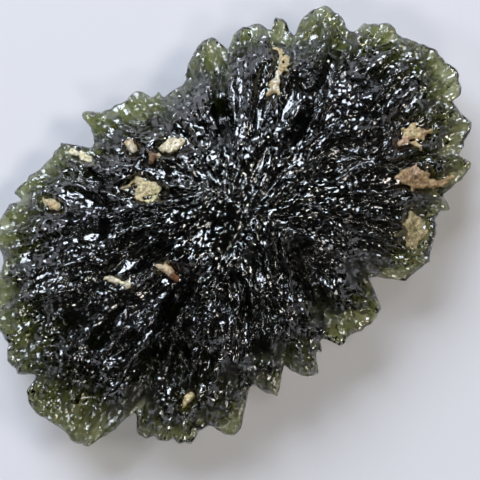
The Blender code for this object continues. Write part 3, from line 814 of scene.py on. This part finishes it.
def clay_color(nodes, links, place, heart, edge, stain):
    """Colour from edge to heart by depth and blotches, under the stain."""
    depth = add_node(nodes, "Attribute", {}, attribute_name="heart")
    blotch = add_node(nodes, "TexNoise", {"Scale": BLOTCHES, "Detail": 4.0})
    links.new(place.outputs["Object"], blotch.inputs["Vector"])
    sway = add_node(nodes, "Math", {1: BLOTCH_SPREAD, 2: -BLOTCH_SPREAD / 2},
                    operation="MULTIPLY_ADD")
    links.new(blotch.outputs["Fac"], sway.inputs[0])
    total = add_node(nodes, "Math", {}, operation="ADD", use_clamp=True)
    links.new(sway.outputs[0], total.inputs[0])
    links.new(depth.outputs["Fac"], total.inputs[1])
    mix = add_node(nodes, "Mix", {}, data_type="RGBA")
    set_sockets(mix, {"A": opaque(FINISHES[edge]), "B": opaque(FINISHES[heart])})
    links.new(total.outputs[0], mix.inputs["Factor"])
    spot = add_node(nodes, "Attribute", {}, attribute_name="stain")
    stained = add_node(nodes, "Mix", {}, data_type="RGBA")
    set_sockets(stained, {"B": opaque(FINISHES[stain])})
    links.new(spot.outputs["Fac"], stained.inputs["Factor"])
    links.new(mix.outputs["Result"], stained.inputs["A"])
    return stained.outputs["Result"]


def clay_material(heart, edge, stain):
    """Dry, dull soil, speckled and bumpy with its grains."""
    made, nodes, links, shader = new_material(f"clay_{heart}_{edge}_{stain}")
    set_sockets(shader, {"Roughness": CLAY_ROUGHNESS})
    place = add_node(nodes, "TexCoord", {})
    color = clay_color(nodes, links, place, heart, edge, stain)
    grain = add_node(nodes, "TexNoise",
                     {"Scale": GRAINS, "Detail": 3.0, "Roughness": GRAIN_ROUGHNESS})
    links.new(place.outputs["Object"], grain.inputs["Vector"])
    speckle = add_node(nodes, "MapRange",
                       {"From Min": GRAIN_RANGE[0], "From Max": GRAIN_RANGE[1],
                        "To Min": SPECKLE[0], "To Max": SPECKLE[1]})
    links.new(grain.outputs["Fac"], speckle.inputs["Value"])
    specked = add_node(nodes, "VectorMath", {}, operation="SCALE")
    links.new(color, specked.inputs[0])
    links.new(speckle.outputs[0], specked.inputs["Scale"])
    links.new(specked.outputs[0], shader.inputs["Base Color"])
    bump = add_node(nodes, "Bump", {"Strength": 1.0, "Distance": GRAIN_BUMP})
    links.new(grain.outputs["Fac"], bump.inputs["Height"])
    links.new(bump.outputs["Normal"], shader.inputs["Normal"])
    return made


def floor_material(color):
    made, _, _, shader = new_material("plain_floor")
    set_sockets(shader, {"Base Color": opaque(color), "Roughness": FLOOR_ROUGHNESS,
                         "Specular IOR Level": 0.0, "Emission Color": opaque(FLOOR_GLOW),
                         "Emission Strength": FLOOR_GLOW_STRENGTH})
    return made


# ---- Clay remnants ----
# How far a crust is rooted below the glass, how far its edge stands above it, and the margin of
# its grid, in mm.
CRUST_ROOT = 0.15
CRUST_STEP_UP = 0.02
CRUST_PAD = 0.3
# Width and power of the rounding of a crust's edge.
CRUST_ROUNDING = 0.3
CRUST_POWER = 0.6
# Share of the raggedness or of the grain, and size, of each of their waves.
RAGGED_WAVES = ((1.0, 0.55), (0.4, 0.2))
GRAIN_WAVES = ((1.0, 0.3), (0.6, 0.14))
# A stain's edge, from full to none, in shares of its radius, and how far that strays.
STAIN_EDGE = (0.75, 1.15)
STAIN_SWAY = 0.35
STAIN_SWAY_SIZE = 0.35
FIRST_CLAY_SEED = 100
CLAY_SEEDS_APART = 10


def crust_grid(strokes, pad, step):
    """Square grid of points over the strokes and a margin round them."""
    every = np.vstack(strokes)
    low, high = every[:, :2].min(axis=0) - pad, every[:, :2].max(axis=0) + pad
    columns, rows = (np.ceil((high - low) / step)).astype(int) + 1
    return np.meshgrid(low[0] + np.arange(columns) * step, low[1] + np.arange(rows) * step,
                       indexing="ij")


def crust_cover(x, y, name, strokes, clay, seed):
    """How far inside the ragged edge of the crust each point lies, in mm."""
    cover = np.max([stroke_cover(x, y, stroke) for stroke in strokes], axis=0)
    cover += sum(clay.ragged * wave(x, y, (height, size, seed + k))
                 for k, (height, size) in enumerate(RAGGED_WAVES))
    for x0, y0, x1, y1, half_width in CLAY_GAPS.get(name, ()):
        away, _ = distance_to_path(x, y, ((x0, y0), (x1, y1)))
        cover = np.minimum(cover, away - half_width)
    return cover


def slab_faces(inside):
    """Faces of a closed slab over the grid cells that lie inside.

    Its upper points are numbered along the grid, and its lower ones follow in the same order.
    """
    quads = inside[:-1, :-1] & inside[1:, :-1] & inside[:-1, 1:] & inside[1:, 1:]
    numbers = np.arange(inside.size).reshape(inside.shape)
    faces, edges = [], {}
    for i, j in zip(*np.nonzero(quads)):
        (a, d), (b, c) = numbers[i:i + 2, j:j + 2].tolist()
        corners = (a, b, c, d)
        faces.append(corners)
        faces.append(tuple(n + inside.size for n in corners[::-1]))
        for start, end in zip(corners, corners[1:] + corners[:1]):
            if (end, start) in edges:
                del edges[(end, start)]
            else:
                edges[(start, end)] = True
    return faces + [(b, a, a + inside.size, b + inside.size) for a, b in edges]


def stain_share(x, y, name, seed):
    """1 on the stains of a remnant, falling to 0 over their ragged edges."""
    stain = np.zeros(len(x))
    for spot_x, spot_y, radius in CLAY_STAINS.get(name, ()):
        away = np.hypot(x - spot_x, y - spot_y) \
            + wave(x, y, (STAIN_SWAY * radius, STAIN_SWAY_SIZE, seed))
        inner, outer = STAIN_EDGE[0] * radius, STAIN_EDGE[1] * radius
        stain = np.maximum(stain, 1.0 - smooth_step(inner, outer, away))
    return stain


def crust_mesh(name, path, thickness, clay, stone, seed):
    """A ragged, grainy crust over the strokes, rooted a little below the glass."""
    strokes = [np.asarray(stroke) for stroke in (path,) + CLAY_ARMS.get(name, ())]
    widest = max(p[2] for p in path)
    grid_x, grid_y = crust_grid(strokes, widest + CRUST_PAD, clay.step)
    x, y = grid_x.ravel(), grid_y.ravel()
    cover = crust_cover(x, y, name, strokes, clay, seed)
    body = np.clip(cover / CRUST_ROUNDING, 0.0, 1.0) ** CRUST_POWER
    grain = sum(clay.grain * wave(x, y, (height, size, seed + len(RAGGED_WAVES) + k))
                for k, (height, size) in enumerate(GRAIN_WAVES))
    glass_top = stone_faces(x, y, stone)[0]
    top = glass_top + CRUST_STEP_UP + body * (thickness + grain)
    bottom = glass_top - CRUST_ROOT
    faces = slab_faces((cover > 0.0).reshape(grid_x.shape))
    used = sorted({n for face in faces for n in face})
    place = {n: k for k, n in enumerate(used)}
    points = np.vstack([np.column_stack([x, y, top]), np.column_stack([x, y, bottom])])[used]
    heart = np.concatenate([cover, cover])[used] / widest
    stain_seed = seed + len(RAGGED_WAVES) + len(GRAIN_WAVES)
    stain = stain_share(points[:, 0], points[:, 1], name, stain_seed)
    return points, [tuple(place[n] for n in face) for face in faces], heart, stain


# ---- Studio ----
# Lengths here are in metres.
LIGHT_AWAY = 0.5
# Lights: power in W, or None for the key power, sides in m, azimuth, elevation, colour.
LIGHTS = {
    "window_light": (None, (0.37, 0.30), 79.0, 37.0, (0.80, 0.88, 1.0)),
    "left_pane": (0.35, (0.105, 0.10), 185.0, 50.0, (0.90, 0.94, 1.0)),
    "right_pane": (0.80, (0.16, 0.14), 334.0, 46.0, (1.0, 0.93, 0.84)),
    "low_pane": (0.45, (0.12, 0.11), 250.0, 50.0, (1.0, 0.93, 0.84)),
}
SKY_COLOR = (1.0, 0.94, 0.89)
# Sines of the elevations at which the sky starts to dim and is dimmest, and its strength there.
SKY_DIMS = (0.30, 0.58)
DIM_SKY = 0.011
FLOOR_HALF = 1.5
# Width of the camera's sensor in mm, as Blender counts it.
SENSOR_WIDTH = 36.0
CAMERA_PLACE = (-0.00034, -0.00196)
RIM_LEVEL = 0.0042


def add_light(name, power, size, azimuth, elevation, color):
    """A rectangular light that faces the stone."""
    lamp = bpy.data.lights.new(name, "AREA")
    lamp.shape = "RECTANGLE"
    lamp.size, lamp.size_y = size
    lamp.energy = power
    lamp.color = color
    light = bpy.data.objects.new(name, lamp)
    azimuth, elevation = math.radians(azimuth), math.radians(elevation)
    light.location = (LIGHT_AWAY * math.cos(elevation) * math.cos(azimuth),
                      LIGHT_AWAY * math.cos(elevation) * math.sin(azimuth),
                      LIGHT_AWAY * math.sin(elevation))
    light.rotation_euler = (math.pi / 2 - elevation, 0.0, azimuth + math.pi / 2)
    bpy.context.scene.collection.objects.link(light)


def add_floor(color):
    mesh = bpy.data.meshes.new("studio_floor")
    corners = [(-FLOOR_HALF, -FLOOR_HALF, 0), (FLOOR_HALF, -FLOOR_HALF, 0),
               (FLOOR_HALF, FLOOR_HALF, 0), (-FLOOR_HALF, FLOOR_HALF, 0)]
    mesh.from_pydata(corners, [], [(0, 1, 2, 3)])
    mesh.materials.append(floor_material(color))
    floor = bpy.data.objects.new("studio_floor", mesh)
    bpy.context.scene.collection.objects.link(floor)


def add_sky(strength):
    """Even light from all round, dimmer from overhead."""
    world = bpy.data.worlds.new("studio_sky")
    world.use_nodes = True
    nodes, links = world.node_tree.nodes, world.node_tree.links
    sky = nodes["Background"]
    set_sockets(sky, {"Color": opaque(SKY_COLOR)})
    place = add_node(nodes, "TexCoord", {})
    split = add_node(nodes, "SeparateXYZ", {})
    links.new(place.outputs["Generated"], split.inputs[0])
    fall = add_node(nodes, "MapRange",
                    {"From Min": SKY_DIMS[0], "From Max": SKY_DIMS[1],
                     "To Min": strength, "To Max": DIM_SKY}, interpolation_type="SMOOTHSTEP")
    links.new(split.outputs["Z"], fall.inputs["Value"])
    links.new(fall.outputs[0], sky.inputs["Strength"])
    bpy.context.scene.world = world


def add_camera(studio):
    """The camera, straight above and turned about its view."""
    view = bpy.data.cameras.new("studio_camera")
    view.sensor_width = SENSOR_WIDTH
    view.lens = SENSOR_WIDTH * studio.distance / studio.view_width
    camera = bpy.data.objects.new("studio_camera", view)
    camera.location = (*CAMERA_PLACE, studio.distance + RIM_LEVEL)
    camera.rotation_euler = (0.0, 0.0, studio.roll)
    bpy.context.scene.collection.objects.link(camera)
    bpy.context.scene.camera = camera


# ---- Operators ----
class MOLDAVITE_OT_stone(bpy.types.Operator):
    """Build the etched glass stone in place of its plain solid"""
    bl_idname = "moldavite.stone"
    bl_label = "Build Stone"

    def execute(self, context):
        settings = context.scene
        points, faces, crests, frosts = stone_mesh(settings.moldavite_stone)
        glass = glass_material(settings.moldavite_glass)
        stone = add_mesh("moldavite_stone", points, faces, glass, crest=crests, frost=frosts)
        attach(stone, BODY)
        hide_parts(STONE)
        return {"FINISHED"}


class MOLDAVITE_OT_clay(bpy.types.Operator):
    """Build the dry clay remnants in the stone's pits"""
    bl_idname = "moldavite.clay"
    bl_label = "Build Clay"

    def execute(self, context):
        settings = context.scene
        for number, (name, remnant) in enumerate(CLAY.items()):
            path, heart, edge, stain, thickness = remnant
            seed = FIRST_CLAY_SEED + CLAY_SEEDS_APART * number
            points, faces, depths, spots = crust_mesh(
                name, path, thickness, settings.moldavite_clay, settings.moldavite_stone, seed)
            crust = add_mesh(name + "_crust", points, faces, clay_material(heart, edge, stain),
                             heart=depths, stain=spots)
            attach(crust, BODY)
            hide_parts(name)
        return {"FINISHED"}


class MOLDAVITE_OT_studio(bpy.types.Operator):
    """Set the pale floor, the soft lights and the camera"""
    bl_idname = "moldavite.studio"
    bl_label = "Set Studio"

    def execute(self, context):
        studio = context.scene.moldavite_studio
        context.scene.view_settings.view_transform = "Standard"
        add_floor(studio.floor_color)
        add_sky(studio.sky)
        for name, (power, *form) in LIGHTS.items():
            add_light(name, studio.key_power if power is None else power, *form)
        add_camera(studio)
        return {"FINISHED"}


class MOLDAVITE_PT_panel(bpy.types.Panel):
    """Lists the builders and their settings"""
    bl_idname = "MOLDAVITE_PT_panel"
    bl_label = "Raw Moldavite"
    bl_space_type = "VIEW_3D"
    bl_region_type = "UI"
    bl_category = "Moldavite"

    def draw(self, context):
        for operator in OPERATORS:
            self.layout.operator(operator.bl_idname)
        for name, group in GROUPS.items():
            for setting in group.__annotations__:
                self.layout.prop(getattr(context.scene, name), setting)


OPERATORS = (MOLDAVITE_OT_stone, MOLDAVITE_OT_clay, MOLDAVITE_OT_studio)
GROUPS = {
    "moldavite_stone": StoneSettings,
    "moldavite_glass": GlassSettings,
    "moldavite_clay": ClaySettings,
    "moldavite_studio": StudioSettings,
}


def register():
    for name, group in GROUPS.items():
        bpy.utils.register_class(group)
        setattr(bpy.types.Scene, name, PointerProperty(type=group))
    for item in OPERATORS + (MOLDAVITE_PT_panel,):
        bpy.utils.register_class(item)


def unregister():
    for item in reversed(OPERATORS + (MOLDAVITE_PT_panel,)):
        bpy.utils.unregister_class(item)
    for name, group in reversed(GROUPS.items()):
        delattr(bpy.types.Scene, name)
        bpy.utils.unregister_class(group)


def main():
    register()
    bpy.ops.moldavite.stone()
    bpy.ops.moldavite.clay()
    bpy.ops.moldavite.studio()


if __name__ == "__main__":
    main()
